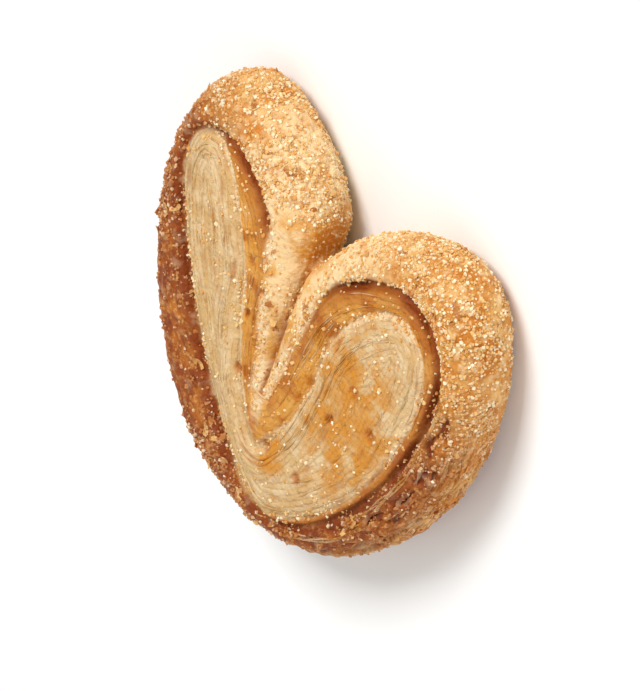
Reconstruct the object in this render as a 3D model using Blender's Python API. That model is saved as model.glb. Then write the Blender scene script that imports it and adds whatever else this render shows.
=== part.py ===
"""A palmier: one heart-shaped slice of folded puff pastry, lying on its back face.

The dough is one solid. It is modelled as the folds that make it: a rounded outer skin, a
middle fold that lines both sides of the cleft, and the innermost fold, whose two tongues
fill the lobes and join below the cleft. Every fold has the same mid plane and stands a
little prouder than the one outside it, with a crease where two folds meet.

Metres, +Z up. +X is the width, +Y points from the heart's tip to its lobes, and the
origin is below the middle of the slice, on the surface it lies on.
"""

import math

import bpy
import bmesh

MM = 0.001

# Driving sizes of the whole slice.
HALF_WIDTH = 35.0 * MM
HALF_LENGTH = 33.4 * MM
THICKNESS = 13.4 * MM
MID_HEIGHT = THICKNESS / 2

# How far the faces of the outer folds lie below those of the tongues.
SKIN_SET_BACK = 0.6 * MM
MIDDLE_SET_BACK = 0.35 * MM

# Roundness of each fold's edges.
SKIN_ROUNDING = 5.2 * MM
MIDDLE_ROUNDING = 1.2 * MM
TONGUE_ROUNDING = 1.9 * MM

# Creases between the folds, along the seam and along the middle of each tongue.
FOLD_CREASE_RADIUS = 0.85 * MM
SEAM_CREASE_RADIUS = 0.75 * MM
TONGUE_CREASE_RADIUS = 0.8 * MM
CREASE_LIFT = 0.2 * MM
TONGUE_CREASE_LIFT = 0.45 * MM

# The cleft: below the place where the lobes touch it is a valley in each face, whose sides
# are as round as the lobes' own and meet in a crease. It narrows to a seam.
TOUCH_X, TOUCH_Y = -2.5 * MM, 13.6 * MM
CLEFT_X, CLEFT_BOTTOM = -3.6 * MM, -9.6 * MM
SEAM_BOTTOM = -17.6 * MM
VALLEY_SIZE_AT_TOUCH = SKIN_ROUNDING
VALLEY_SIZE_AT_BOTTOM = 0.5 * MM
VALLEY_SIDE_ANGLES = (0, 15, 30, 45, 60, 72)
VALLEY_DEPTH_SHARE = 0.92

WELD_DISTANCE = 0.00001
SMOOTH_ANGLE = math.radians(40)
CRUST_COLOUR = (0.62, 0.36, 0.13, 1.0)
CRUST_ROUGHNESS = 0.55


def knot(x, y, heading, reach_in, reach_out, radius=1.0):
    """A curve knot: place and reaches in millimetres, heading in degrees, and a share of the radius."""
    turn = math.radians(heading)
    step = (math.cos(turn) * MM, math.sin(turn) * MM)
    centre = (x * MM, y * MM, 0.0)
    before = (centre[0] - step[0] * reach_in, centre[1] - step[1] * reach_in, 0.0)
    after = (centre[0] + step[0] * reach_out, centre[1] + step[1] * reach_out, 0.0)
    return centre, before, after, radius


# Outlines run anticlockwise from the tip: right side, right lobe, cleft, left lobe, left side.
SKIN_OUTLINE = (
    knot(-1.8, -HALF_LENGTH / MM, 0, 20.6, 21.0),
    knot(HALF_WIDTH / MM, 10.4, 90, 17.3, 11.6),
    knot(21.8, 31.4, 180, 10.4, 7.5),
    knot(3.6, 21.8, 227, 4.5, 3.5),
    knot(TOUCH_X / MM, TOUCH_Y / MM, 180, 0.3, 0.3),
    knot(-2.3, 18.8, 90, 3.0, 4.5),
    knot(-21.6, HALF_LENGTH / MM, 180, 8.5, 7.7),
    knot(-HALF_WIDTH / MM, 9.7, 270, 10.8, 20.8),
)
MIDDLE_OUTLINE = (
    knot(1.4, -28.5, 0, 10.2, 11.0),
    knot(29.8, 14.5, 90, 16.5, 6.0),
    knot(20.3, 25.1, 180, 5.2, 5.5),
    knot(4.0, 14.2, 236, 5.5, 2.5),
    knot(TOUCH_X / MM - 0.3, TOUCH_Y / MM - 4.6, 180, 2.0, 1.5),
    knot(-6.4, 11.2, 118, 2.0, 5.0),
    knot(-20.6, 25.0, 180, 7.0, 4.5),
    knot(-29.3, 17.4, 270, 4.4, 14.0),
)
TONGUE_OUTLINE = (
    knot(0.8, -27.5, 0, 9.2, 10.5),
    knot(26.9, 12.0, 90, 15.5, 5.0),
    knot(20.2, 20.9, 180, 3.8, 6.0),
    knot(6.0, 2.5, 267, 7.5, 7.5),
    knot(-3.0, SEAM_BOTTOM / MM - 1.2, 180, 2.6, 2.6),
    knot(-11.9, 2.0, 96, 8.5, 7.5),
    knot(-22.8, 24.0, 180, 3.6, 3.4),
    knot(-28.3, 17.2, 270, 4.0, 13.5),
)

# The lines in the faces are open, with the same kind of knots. The skin's crease follows the
# middle fold round both lobes and the tip, and both its ends fade out beside the cleft.
FADED = 0.35
SKIN_CREASE_LINE = (
    knot(-5.2, 13.5, 118, 1.0, 3.0, FADED),
    *MIDDLE_OUTLINE[6:],
    *MIDDLE_OUTLINE[:3],
    knot(1.4, 11.4, 238, 6.5, 1.0, FADED),
)
VALLEY_TAPER = VALLEY_SIZE_AT_BOTTOM / VALLEY_SIZE_AT_TOUCH
VALLEY_LINE = (
    knot(TOUCH_X / MM, TOUCH_Y / MM + 1.0, 266, 1.0, 7.0),
    knot(CLEFT_X / MM, CLEFT_BOTTOM / MM - 1.0, 270, 8.0, 1.0, VALLEY_TAPER),
)
SEAM_LINE = (
    knot(CLEFT_X / MM, CLEFT_BOTTOM / MM + 1.5, 270, 1.0, 1.0, FADED),
    knot(CLEFT_X / MM, CLEFT_BOTTOM / MM - 2.0, 270, 1.0, 2.0),
    knot(-3.2, SEAM_BOTTOM / MM, 272, 2.0, 1.0),
)
TONGUE_LINES = (
    (
        knot(17.6, 13.0, 252, 1.0, 6.5, FADED),
        knot(11.6, -5.0, 246, 6.0, 5.0),
        knot(3.0, -20.6, 228, 5.0, 1.0, FADED),
    ),
    (
        knot(-22.6, 17.0, 272, 1.0, 7.0, FADED),
        knot(-17.6, -3.5, 286, 6.0, 5.0),
        knot(-10.2, -18.6, 305, 5.0, 1.0, FADED),
    ),
)


def clear_scene():
    """Removes whatever the scene holds."""
    for old in list(bpy.data.objects):
        bpy.data.objects.remove(old, do_unlink=True)


def new_collection(name):
    """A collection of this name under the scene's own."""
    collection = bpy.data.collections.new(name)
    bpy.context.scene.collection.children.link(collection)
    return collection


def crust_material():
    """The browned, sugared crust."""
    material = bpy.data.materials.new("baked_crust")
    material.use_nodes = True
    shader = material.node_tree.nodes["Principled BSDF"]
    shader.inputs["Base Color"].default_value = CRUST_COLOUR
    shader.inputs["Roughness"].default_value = CRUST_ROUGHNESS
    shader.inputs["Metallic"].default_value = 0.0
    return material


def add_spline(curve, knots, closed, resolution):
    """Adds one Bezier spline through the knots."""
    spline = curve.splines.new("BEZIER")
    spline.bezier_points.add(len(knots) - 1)
    for point, (centre, before, after, radius) in zip(spline.bezier_points, knots):
        point.co, point.handle_left, point.handle_right = centre, before, after
        point.radius = radius
        point.handle_left_type = point.handle_right_type = "FREE"
    spline.use_cyclic_u = closed
    spline.resolution_u = resolution


def made_mesh(curve_object, collection):
    """Swaps a curve object for a welded mesh object of the same name, place and shape."""
    bpy.context.view_layer.update()
    evaluated = curve_object.evaluated_get(bpy.context.evaluated_depsgraph_get())
    mesh = bpy.data.meshes.new_from_object(evaluated)
    work = bmesh.new()
    work.from_mesh(mesh)
    bmesh.ops.remove_doubles(work, verts=work.verts, dist=WELD_DISTANCE)
    bmesh.ops.recalc_face_normals(work, faces=work.faces)
    work.to_mesh(mesh)
    work.free()
    name, place = curve_object.name, curve_object.matrix_world.copy()
    bpy.data.objects.remove(curve_object, do_unlink=True)
    made = bpy.data.objects.new(name, mesh)
    made.matrix_world = place
    collection.objects.link(made)
    return made


def fold(name, outline, set_back, rounding, rounding_steps, resolution, collection):
    """A slab with this outline and round edges, its faces set back from the slice's own."""
    curve = bpy.data.curves.new(name, "CURVE")
    curve.dimensions = "2D"
    curve.fill_mode = "BOTH"
    curve.extrude = THICKNESS / 2 - set_back - rounding
    curve.bevel_depth = rounding
    curve.bevel_resolution = rounding_steps
    curve.offset = -rounding
    add_spline(curve, outline, True, resolution)
    slab = bpy.data.objects.new(name, curve)
    slab.location.z = MID_HEIGHT
    collection.objects.link(slab)
    return made_mesh(slab, collection)


def crease(name, line, closed, radius, height, resolution, collection):
    """A round bar along a line at one height, to press a crease into a face."""
    curve = bpy.data.curves.new(name, "CURVE")
    curve.dimensions = "3D"
    curve.bevel_depth = radius
    curve.bevel_resolution = 1
    curve.use_fill_caps = not closed
    add_spline(curve, line, closed, resolution)
    bar = bpy.data.objects.new(name, curve)
    bar.location.z = height
    collection.objects.link(bar)
    return made_mesh(bar, collection)


def valley_section(name, way, collection):
    """The valley's cross-section: two sides that curve towards each other and meet in a point."""
    reach = [math.radians(angle) for angle in VALLEY_SIDE_ANGLES]
    side = [(1 - math.sin(turn), math.cos(turn) - 1) for turn in reach]
    left = [(-x, y) for x, y in side]
    corners = [(-1, 1), *left, (0, -VALLEY_DEPTH_SHARE), *reversed(side), (1, 1)]
    curve = bpy.data.curves.new(name, "CURVE")
    curve.dimensions = "2D"
    spline = curve.splines.new("POLY")
    spline.points.add(len(corners) - 1)
    for point, (x, y) in zip(spline.points, corners):
        point.co = (x * VALLEY_SIZE_AT_TOUCH, way * y * VALLEY_SIZE_AT_TOUCH, 0.0, 1.0)
    spline.use_cyclic_u = True
    section = bpy.data.objects.new(name, curve)
    section.hide_render = True
    section.display_type = "WIRE"
    collection.objects.link(section)
    return section


def valleys(name, line, resolution, collection):
    """The bars that cut the valley into the upper and the lower face."""
    bars = []
    for side, way in (("top", 1), ("back", -1)):
        section = valley_section(f"{name}_section_{side}", way, collection)
        curve = bpy.data.curves.new(f"{name}_{side}", "CURVE")
        curve.dimensions = "3D"
        curve.twist_mode = "Z_UP"
        curve.bevel_mode = "OBJECT"
        curve.bevel_object = section
        curve.use_fill_caps = True
        add_spline(curve, line, False, resolution)
        bar = bpy.data.objects.new(f"{name}_{side}", curve)
        bar.location.z = MID_HEIGHT + way * (THICKNESS / 2 - SKIN_SET_BACK)
        collection.objects.link(bar)
        bars.append(made_mesh(bar, collection))
        bpy.data.objects.remove(section, do_unlink=True)
    return bars


def creases(name, line, closed, radius, set_back, lift, resolution, collection):
    """The same crease for the upper and the lower face of a fold, its bar lifted off the face."""
    reach = THICKNESS / 2 - set_back + lift
    return [
        crease(f"{name}_{side}", line, closed, radius, MID_HEIGHT + way * reach, resolution, collection)
        for side, way in (("top", 1), ("back", -1))
    ]


def join_or_cut(body, other, operation):
    """Adds a Boolean of this operation to the body, and shows the other object as a guide."""
    boolean = body.modifiers.new(other.name, "BOOLEAN")
    boolean.operation = operation
    boolean.solver = "EXACT"
    boolean.object = other
    other.hide_render = True
    other.display_type = "WIRE"


def press(pressed, collection):
    """The cuts that press these creases into both faces."""
    return [(bar, "DIFFERENCE") for settings in pressed for bar in creases(*settings, collection)]


def build_palmier():
    """The slice: three nested folds joined into one body, with creases between them."""
    pastry = new_collection("palmier")
    tools = new_collection("palmier_cutters")

    body = fold("palmier_slice", SKIN_OUTLINE, SKIN_SET_BACK, SKIN_ROUNDING, 3, 10, pastry)
    middle = fold("middle_fold", MIDDLE_OUTLINE, MIDDLE_SET_BACK, MIDDLE_ROUNDING, 1, 8, tools)
    tongues = fold("tongue_fold", TONGUE_OUTLINE, 0.0, TONGUE_ROUNDING, 1, 9, tools)

    pressed = (("skin_crease", SKIN_CREASE_LINE, False, FOLD_CREASE_RADIUS, SKIN_SET_BACK, CREASE_LIFT, 6),)
    steps = press(pressed, tools)
    steps.append((middle, "UNION"))
    steps += [(bar, "DIFFERENCE") for bar in valleys("cleft_valley", VALLEY_LINE, 8, tools)]
    pressed = (
        ("tongue_edge_crease", TONGUE_OUTLINE, True, FOLD_CREASE_RADIUS, MIDDLE_SET_BACK, CREASE_LIFT, 6),
        ("seam_crease", SEAM_LINE, False, SEAM_CREASE_RADIUS, MIDDLE_SET_BACK, CREASE_LIFT, 4),
    )
    steps += press(pressed, tools)
    steps.append((tongues, "UNION"))
    pressed = [
        (f"tongue_crease_{number}", line, False, TONGUE_CREASE_RADIUS, 0.0, TONGUE_CREASE_LIFT, 6)
        for number, line in enumerate(TONGUE_LINES)
    ]
    steps += press(pressed, tools)
    for other, operation in steps:
        join_or_cut(body, other, operation)

    body.data.materials.append(crust_material())
    body.data.shade_smooth()
    body.data.set_sharp_from_angle(angle=SMOOTH_ANGLE)
    return body


clear_scene()
build_palmier()
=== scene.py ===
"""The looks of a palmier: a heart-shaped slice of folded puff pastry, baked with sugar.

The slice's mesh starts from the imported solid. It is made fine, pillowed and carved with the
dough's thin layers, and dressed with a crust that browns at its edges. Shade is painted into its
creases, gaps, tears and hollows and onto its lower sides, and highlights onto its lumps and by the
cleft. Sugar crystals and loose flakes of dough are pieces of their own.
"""

import logging
import math
from dataclasses import dataclass, field
from enum import Enum

import bpy
import numpy as np
from mathutils import Matrix, Vector
from mathutils.bvhtree import BVHTree


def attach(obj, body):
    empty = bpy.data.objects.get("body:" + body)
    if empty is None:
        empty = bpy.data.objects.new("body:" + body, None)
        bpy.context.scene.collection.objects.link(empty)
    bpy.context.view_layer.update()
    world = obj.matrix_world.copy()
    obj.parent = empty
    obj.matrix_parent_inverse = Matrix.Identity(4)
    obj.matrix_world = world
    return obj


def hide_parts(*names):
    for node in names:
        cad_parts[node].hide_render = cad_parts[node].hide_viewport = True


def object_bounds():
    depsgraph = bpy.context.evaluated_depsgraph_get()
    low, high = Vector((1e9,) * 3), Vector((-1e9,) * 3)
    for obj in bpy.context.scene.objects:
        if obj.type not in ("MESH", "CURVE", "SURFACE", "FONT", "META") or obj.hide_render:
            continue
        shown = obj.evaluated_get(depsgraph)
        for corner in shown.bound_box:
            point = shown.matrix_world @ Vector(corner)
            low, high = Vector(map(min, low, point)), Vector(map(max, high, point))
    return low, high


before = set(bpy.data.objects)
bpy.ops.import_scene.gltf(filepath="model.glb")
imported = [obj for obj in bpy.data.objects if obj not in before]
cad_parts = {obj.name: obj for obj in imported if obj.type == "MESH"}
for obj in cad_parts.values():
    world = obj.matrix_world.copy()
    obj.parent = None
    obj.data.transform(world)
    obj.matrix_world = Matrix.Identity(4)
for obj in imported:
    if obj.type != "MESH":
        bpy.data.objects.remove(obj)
CAD_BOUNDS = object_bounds()

MM = 0.001
NODE = "palmier_slice"
BODY = "root"
MIDDLE_HEIGHT = (CAD_BOUNDS[0][2] + CAD_BOUNDS[1][2]) / 2 / MM
LOG = logging.getLogger("palmier")


def srgb(red: float, green: float, blue: float) -> tuple[float, float, float, float]:
    """Turns a colour given in 0 to 255 display steps into Blender's linear values.

    Args:
        red: The red step.
        green: The green step.
        blue: The blue step.

    Returns:
        The linear colour with alpha 1.
    """
    def linear(step: float) -> float:
        """One channel."""
        share = step / 255
        return share / 12.92 if share <= 0.04045 else ((share + 0.055) / 1.055) ** 2.4

    return linear(red), linear(green), linear(blue), 1.0


def smooth_step(low: float, high: float, values: np.ndarray) -> np.ndarray:
    """Rises smoothly from 0 at low to 1 at high.

    Args:
        low: Where the rise starts.
        high: Where it ends, which may be below low for a fall.
        values: The values to weigh.

    Returns:
        The weights.
    """
    share = np.clip((values - low) / (high - low), 0, 1)
    return share * share * (3 - 2 * share)


@dataclass(frozen=True)
class LatticeNoise:
    """Gradient noise in three dimensions for many points at once."""

    seed: int

    def at(self, points: np.ndarray) -> np.ndarray:
        """Reads the noise.

        Args:
            points: Rows of three coordinates, one unit for each lattice cell.

        Returns:
            One value for each row, mostly between -0.7 and 0.7.
        """
        rng = np.random.default_rng(self.seed)
        order = rng.permutation(256)
        slopes = rng.normal(size=(256, 3))
        slopes /= np.linalg.norm(slopes, axis=1)[:, None]
        cell = np.floor(points).astype(int)
        inside = points - cell
        fade = inside ** 3 * (inside * (inside * 6 - 15) + 10)
        total = np.zeros(len(points))
        for corner in np.ndindex(2, 2, 2):
            spot = (cell + corner) % 256
            slope = slopes[order[(order[(order[spot[:, 0]] + spot[:, 1]) % 256] + spot[:, 2]) % 256]]
            reach = inside - corner
            weight = np.prod(np.where(corner, fade, 1 - fade), axis=1)
            total += weight * (slope * reach).sum(axis=1)
        return total

    def layered(self, points: np.ndarray, octaves: int) -> np.ndarray:
        """Adds octaves of the noise, each twice as fine and half as strong.

        Args:
            points: Rows of three coordinates.
            octaves: How many to add.

        Returns:
            One value for each row.
        """
        return sum(self.at(points * 2 ** octave + 17.3 * octave) / 2 ** octave for octave in range(octaves))


@dataclass(frozen=True)
class Knot:
    """One knot of an outline: place and reaches in millimetres, heading in degrees."""

    x: float
    y: float
    heading: float
    reach_in: float
    reach_out: float


@dataclass(frozen=True)
class Outline:
    """A closed smooth outline seen from above, anticlockwise."""

    knots: tuple[Knot, ...]
    steps: int = 40

    def points(self) -> np.ndarray:
        """The outline as many points, in millimetres."""
        spans = []
        share = np.linspace(0, 1, self.steps, endpoint=False)[:, None]
        for first, last in zip(self.knots, self.knots[1:] + self.knots[:1]):
            out, into = math.radians(first.heading), math.radians(last.heading)
            start, end = np.array([first.x, first.y]), np.array([last.x, last.y])
            leave = start + first.reach_out * np.array([math.cos(out), math.sin(out)])
            arrive = end - last.reach_in * np.array([math.cos(into), math.sin(into)])
            spans.append((1 - share) ** 3 * start + 3 * (1 - share) ** 2 * share * leave
                         + 3 * (1 - share) * share ** 2 * arrive + share ** 3 * end)
        return np.vstack(spans)

    def length(self) -> float:
        """The outline's length, in millimetres."""
        points = self.points()
        return float(np.linalg.norm(np.roll(points, -1, axis=0) - points, axis=1).sum())

    def inside_point(self, arc: float, depth: float) -> np.ndarray:
        """Finds the place a given depth inside the outline.

        Args:
            arc: The length along the outline, which may run past its end.
            depth: The depth, in millimetres.

        Returns:
            Its x and y.
        """
        points = self.points()
        step = np.roll(points, -1, axis=0) - points
        length = np.linalg.norm(step, axis=1)
        along = np.concatenate([[0], np.cumsum(length)])
        arc = arc % along[-1]
        index = int(np.searchsorted(along, arc, side="right") - 1)
        run = step[index] / length[index]
        return points[index] + run * (arc - along[index]) + depth * np.array([-run[1], run[0]])

    def measure(self, places: np.ndarray) -> tuple[np.ndarray, np.ndarray]:
        """Measures how deep inside the outline each place lies, and beside which stretch of it.

        Args:
            places: Rows of x and y, in millimetres.

        Returns:
            The depth in millimetres, negative outside, and the length along the outline.
        """
        start = self.points()
        step = np.roll(start, -1, axis=0) - start
        length = np.linalg.norm(step, axis=1)
        along = np.concatenate([[0], np.cumsum(length)[:-1]])
        depth, arc = np.empty(len(places)), np.empty(len(places))
        for first in range(0, len(places), 8000):
            block = places[first:first + 8000]
            gap = block[:, None] - start[None]
            share = np.clip((gap * step).sum(axis=2) / length ** 2, 0, 1)
            distance = np.linalg.norm(gap - share[..., None] * step, axis=2)
            nearest = distance.argmin(axis=1)
            row = np.arange(len(block))
            above = start[None, :, 1] > block[:, None, 1]
            crossing = above != np.roll(above, -1, axis=1)
            rise = np.where(np.abs(step[:, 1]) < 1e-9, 1e-9, step[:, 1])
            cut = start[:, 0] + (block[:, None, 1] - start[:, 1]) / rise * step[:, 0]
            inside = (crossing & (block[:, None, 0] < cut)).sum(axis=1) % 2 == 1
            depth[first:first + 8000] = np.where(inside, 1, -1) * distance[row, nearest]
            arc[first:first + 8000] = along[nearest] + share[row, nearest] * length[nearest]
        return depth, arc


# The folds' outlines, as the solid has them. They run from the tip round the right side.
SKIN = Outline((
    Knot(-1.8, -33.4, 0, 20.6, 21.0),
    Knot(35.0, 10.4, 90, 17.3, 11.6),
    Knot(21.8, 31.4, 180, 10.4, 7.5),
    Knot(3.6, 21.8, 227, 4.5, 3.5),
    Knot(-2.5, 13.6, 180, 0.3, 0.3),
    Knot(-2.3, 18.8, 90, 3.0, 4.5),
    Knot(-21.6, 33.4, 180, 8.5, 7.7),
    Knot(-35.0, 9.7, 270, 10.8, 20.8),
))
MIDDLE = Outline((
    Knot(1.4, -28.5, 0, 10.2, 11.0),
    Knot(29.8, 14.5, 90, 16.5, 6.0),
    Knot(20.3, 25.1, 180, 5.2, 5.5),
    Knot(4.0, 14.2, 242, 5.5, 6.5),
    Knot(-3.6, -9.6, 180, 0.35, 0.35),
    Knot(-6.1, 9.5, 93, 8.0, 5.5),
    Knot(-20.6, 25.0, 180, 7.0, 4.5),
    Knot(-29.3, 17.4, 270, 4.4, 14.0),
))
TONGUE = Outline((
    Knot(0.8, -27.5, 0, 9.2, 10.5),
    Knot(26.9, 12.0, 90, 15.5, 5.0),
    Knot(20.2, 20.9, 180, 3.8, 6.0),
    Knot(6.0, 2.5, 267, 7.5, 7.5),
    Knot(-3.0, -18.8, 180, 2.6, 2.6),
    Knot(-11.9, 2.0, 96, 8.5, 7.5),
    Knot(-22.8, 24.0, 180, 3.6, 3.4),
    Knot(-28.3, 17.2, 270, 4.0, 13.5),
))


@dataclass(frozen=True)
class Cleft:
    """The valley between the lobes, from its bottom up to where they touch, in millimetres."""

    bottom: tuple[float, float] = (-3.6, -9.6)
    top: tuple[float, float] = (-2.5, 13.6)
    half_widths: tuple[float, float] = (0.6, 5.0)

    def climb(self, place: np.ndarray) -> np.ndarray:
        """How far up the cleft each place lies: 0 at its bottom, 1 where the lobes touch."""
        return (place[:, 1] - self.bottom[1]) / (self.top[1] - self.bottom[1])

    def offset(self, place: np.ndarray) -> np.ndarray:
        """How far each place lies to either side of the line along the cleft."""
        return np.abs(place[:, 0] - self.bottom[0] - self.climb(place) * (self.top[0] - self.bottom[0]))

    def half_width(self, place: np.ndarray) -> np.ndarray:
        """Half the cleft's width at each place's height up it."""
        low, high = self.half_widths
        return low + np.clip(self.climb(place), 0, 1.3) * (high - low)

    def gap(self, place: np.ndarray) -> np.ndarray:
        """How far each place lies from the cleft's sides, negative between them."""
        return self.offset(place) - self.half_width(place)


CLEFT = Cleft()


class Term:
    """A shader socket that takes part in Python expressions."""

    def __init__(self, paint: "Paint", socket: bpy.types.NodeSocket) -> None:
        """Wraps a socket.

        Args:
            paint: The paint whose nodes the expression adds to.
            socket: The output socket.
        """
        self.paint = paint
        self.socket = socket

    def __add__(self, other: "Term | float") -> "Term":
        """Sum."""
        return self.paint.math("ADD", self, other)

    def __radd__(self, other: float) -> "Term":
        """Sum, the other way round."""
        return self.paint.math("ADD", other, self)

    def __sub__(self, other: "Term | float") -> "Term":
        """Difference."""
        return self.paint.math("SUBTRACT", self, other)

    def __rsub__(self, other: float) -> "Term":
        """Difference, the other way round."""
        return self.paint.math("SUBTRACT", other, self)

    def __mul__(self, other: "Term | float") -> "Term":
        """Product."""
        return self.paint.math("MULTIPLY", self, other)

    def __rmul__(self, other: float) -> "Term":
        """Product, the other way round."""
        return self.paint.math("MULTIPLY", other, self)

    def __truediv__(self, other: "Term | float") -> "Term":
        """Quotient."""
        return self.paint.math("DIVIDE", self, other)

    def __neg__(self) -> "Term":
        """Opposite."""
        return self.paint.math("MULTIPLY", self, -1.0)

    def __abs__(self) -> "Term":
        """Size without sign."""
        return self.paint.math("ABSOLUTE", self)

    def __pow__(self, power: float) -> "Term":
        """Power."""
        return self.paint.math("POWER", self, power)


class Paint:
    """One material and the nodes that are added to it."""

    def __init__(self, name: str) -> None:
        """Starts a material with a Principled shader.

        Args:
            name: The material's name.
        """
        self.material = bpy.data.materials.new(name)
        self.material.use_nodes = True
        self.tree = self.material.node_tree
        self.shader = self.tree.nodes["Principled BSDF"]

    def node(self, kind: str, settings: dict | None = None, sockets: dict | None = None) -> bpy.types.Node:
        """Adds any node.

        Args:
            kind: The node's type.
            settings: Its own settings, set first.
            sockets: Its input sockets, by name or number, each with a value or a term.

        Returns:
            The node.
        """
        made = self.tree.nodes.new(kind)
        for name, value in (settings or {}).items():
            setattr(made, name, value)
        for name, value in (sockets or {}).items():
            self.feed(made.inputs[name], value)
        return made

    def feed(self, socket: bpy.types.NodeSocket, value: object) -> None:
        """Links a term to an input socket, or sets its value.

        Args:
            socket: The input socket.
            value: A term or a plain value.
        """
        if isinstance(value, Term):
            self.tree.links.new(value.socket, socket)
        else:
            socket.default_value = value

    def math(self, operation: str, first: object, second: object = 0.0) -> Term:
        """A Math node on one or two numbers."""
        made = self.node("ShaderNodeMath", {"operation": operation}, {0: first, 1: second})
        return Term(self, made.outputs[0])

    def attribute(self, name: str, output: str = "Fac") -> Term:
        """An attribute of the mesh."""
        return Term(self, self.node("ShaderNodeAttribute", {"attribute_name": name}).outputs[output])

    def place(self) -> Term:
        """The piece's own coordinates, in metres."""
        return Term(self, self.node("ShaderNodeTexCoord").outputs["Object"])

    def vector(self, x: object, y: object, z: object) -> Term:
        """A vector from three numbers."""
        made = self.node("ShaderNodeCombineXYZ", None, {0: x, 1: y, 2: z})
        return Term(self, made.outputs[0])

    def rise(self, low: float, high: float, value: Term) -> Term:
        """Rises smoothly from 0 at low to 1 at high.

        Args:
            low: Where the rise starts.
            high: Where it ends. Below low, the value falls instead.
            value: The value to weigh.

        Returns:
            The weight.
        """
        ends = (low, high, 0.0, 1.0) if low < high else (high, low, 1.0, 0.0)
        made = self.node("ShaderNodeMapRange", {"interpolation_type": "SMOOTHSTEP"},
                         {0: value, 1: ends[0], 2: ends[1], 3: ends[2], 4: ends[3]})
        return Term(self, made.outputs[0])

    def bell(self, value: Term, width: float) -> Term:
        """1 where the value is 0, and falling to 0 at the width on both sides."""
        return self.rise(width, 0.0, abs(value))

    def noise(self, where: Term, scale: float, detail: float = 2.0, roughness: float = 0.5) -> Term:
        """Noise between 0 and 1.

        Args:
            where: The coordinates.
            scale: Cells for each unit of the coordinates.
            detail: Octaves.
            roughness: How strong the fine octaves are.

        Returns:
            The noise.
        """
        made = self.node("ShaderNodeTexNoise", {"noise_dimensions": "3D"},
                         {"Vector": where, "Scale": scale, "Detail": detail, "Roughness": roughness})
        return Term(self, made.outputs["Fac"])

    def parts(self, vector: Term) -> tuple[Term, Term, Term]:
        """A vector's three numbers."""
        made = self.node("ShaderNodeSeparateXYZ", None, {0: vector})
        return tuple(Term(self, output) for output in made.outputs)

    def grains(self, where: Term, scale: float) -> Term:
        """Rounded grains side by side, 1 at each grain's middle and 0 between them."""
        made = self.node("ShaderNodeTexVoronoi", {"feature": "F1"}, {"Vector": where, "Scale": scale})
        return 1.0 - Term(self, made.outputs["Distance"])

    def mix(self, share: object, first: object, second: object, mode: str = "MIX") -> Term:
        """Mixes two colours.

        Args:
            share: How much of the second.
            first: The first colour.
            second: The second colour.
            mode: The way of mixing.

        Returns:
            The colour.
        """
        made = self.node("ShaderNodeMix", {"data_type": "RGBA", "blend_type": mode, "clamp_factor": True},
                         {0: share, 6: first, 7: second})
        return Term(self, made.outputs[2])

    def bump(self, height: Term, distance: float, strength: float = 1.0, onto: Term | None = None) -> Term:
        """Turns a height into a bumped normal.

        Args:
            height: The height, about 0 to 1.
            distance: What a height of 1 stands for, in metres.
            strength: How much of it shows.
            onto: A normal that is already bumped.

        Returns:
            The normal.
        """
        sockets = {"Height": height, "Distance": distance, "Strength": strength}
        if onto:
            sockets["Normal"] = onto
        return Term(self, self.node("ShaderNodeBump", None, sockets).outputs[0])

    def finish(self, **sockets: object) -> bpy.types.Material:
        """Feeds the Principled shader, by socket name with _ for a space.

        Args:
            sockets: The values and terms.

        Returns:
            The material.
        """
        for name, value in sockets.items():
            self.feed(self.shader.inputs[name.replace("_", " ")], value)
        return self.material


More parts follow.
